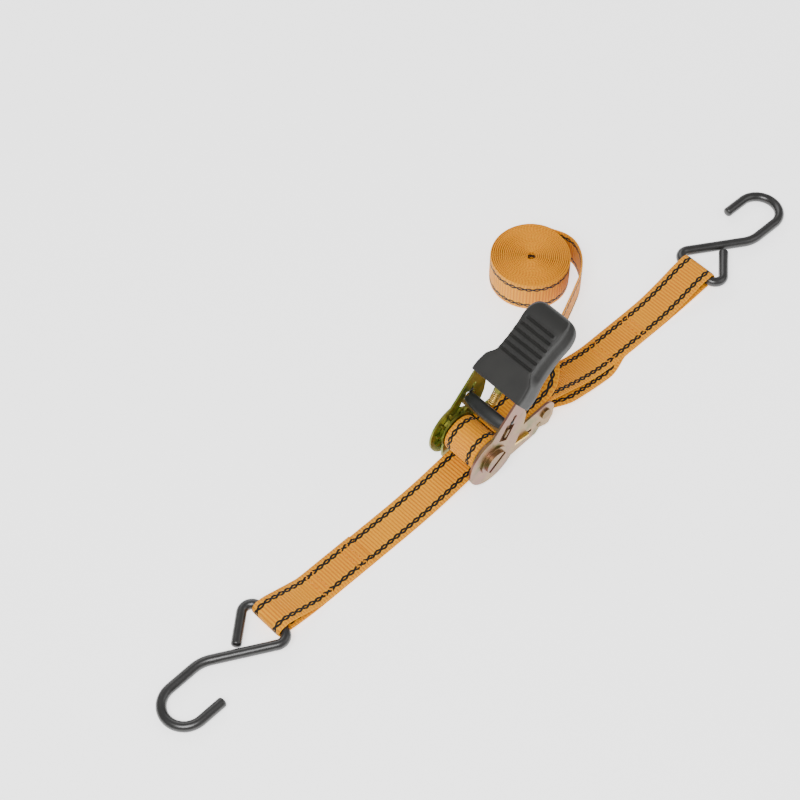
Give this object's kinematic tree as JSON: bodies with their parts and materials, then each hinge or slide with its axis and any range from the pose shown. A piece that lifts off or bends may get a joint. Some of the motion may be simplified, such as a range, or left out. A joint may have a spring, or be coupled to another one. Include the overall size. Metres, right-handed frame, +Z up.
{
  "type": "ratchet tie-down strap",
  "caption": "Ratchet tie-down strap: woven webbing on a geared hand ratchet with a sprung drive pawl and lock pawl, and a coated S-hook at each end.",
  "frame": {"origin": "middle of the bounding box, on the floor", "axes": "+X along the strap towards the fixed end's hook, +Y across the strap towards the rolled spare webbing, +Z up"},
  "size_m": [0.5756, 0.1314, 0.0947],
  "materials": {
    "zinc": "yellow passivated zinc plate",
    "zinc_bright": "bright yellow zinc plate",
    "webbing": "woven polyester with two tracer stripes",
    "thread": "bonded sewing thread",
    "grip_rubber": "moulded matt rubber",
    "black_plastic": "black coated pressing",
    "hook_vinyl": "dipped vinyl coat over steel wire"
  },
  "bodies": {
    "frame": {"base_plate_near": "zinc", "base_plate_far": "zinc", "base_cross_tie": "zinc_bright", "rear_bolt": "zinc_bright", "rear_bolt_sleeve": "zinc", "lock_pawl_spring": "zinc_bright", "webbing_main": "webbing", "webbing_fixed": "webbing", "webbing_tail": "webbing", "webbing_roll": "webbing", "stitching_main": "thread", "stitching_fixed": "thread"},
    "spool": {"mandrel_half_upper": "zinc", "mandrel_half_lower": "zinc", "ratchet_wheel_near": "zinc", "ratchet_wheel_far": "zinc", "webbing_wound": "webbing"},
    "handle": {"handle_arm_near": "zinc", "handle_arm_far": "zinc", "handle_bridge": "zinc", "grip": "grip_rubber", "drive_pawl_spring": "zinc_bright"},
    "drive": {"drive_pawl": "zinc", "release_pull": "black_plastic"},
    "lock": {"lock_pawl": "zinc_bright"},
    "main_hook": {"hook_main": "hook_vinyl"},
    "fixed_hook": {"hook_fixed": "hook_vinyl"}
  },
  "joints": [
    {"name": "spool_spin", "type": "hinge", "parent": "frame", "child": "spool", "pos_m": [-0.0225, -0.0413, 0.022], "axis": [0, -1, 0], "continuous": true},
    {"name": "handle_swing", "type": "hinge", "parent": "frame", "child": "handle", "pos_m": [-0.0225, -0.0413, 0.022], "axis": [0, -1, 0], "range_deg": [-30, 120]},
    {"name": "drive_pawl_slide", "type": "slide", "parent": "handle", "child": "drive", "axis": [0.5299, 0, 0.848], "range_m": [-0.0029, 0.0035], "stiffness_N_per_m": 300, "deforming": ["drive_pawl_spring"]},
    {"name": "lock_pawl_slide", "type": "slide", "parent": "frame", "child": "lock", "axis": [0.9848, 0, -0.1736], "range_m": [0, 0.0035], "stiffness_N_per_m": 300, "deforming": ["lock_pawl_spring"]},
    {"name": "main_hook_swing", "type": "hinge", "parent": "frame", "child": "main_hook", "pos_m": [-0.1955, -0.0413, 0.008], "axis": [0, 1, 0], "range_deg": [-75, 75]},
    {"name": "fixed_hook_swing", "type": "hinge", "parent": "frame", "child": "fixed_hook", "pos_m": [0.1955, -0.0413, 0.008], "axis": [0, -1, 0], "range_deg": [-75, 75]}
  ]
}
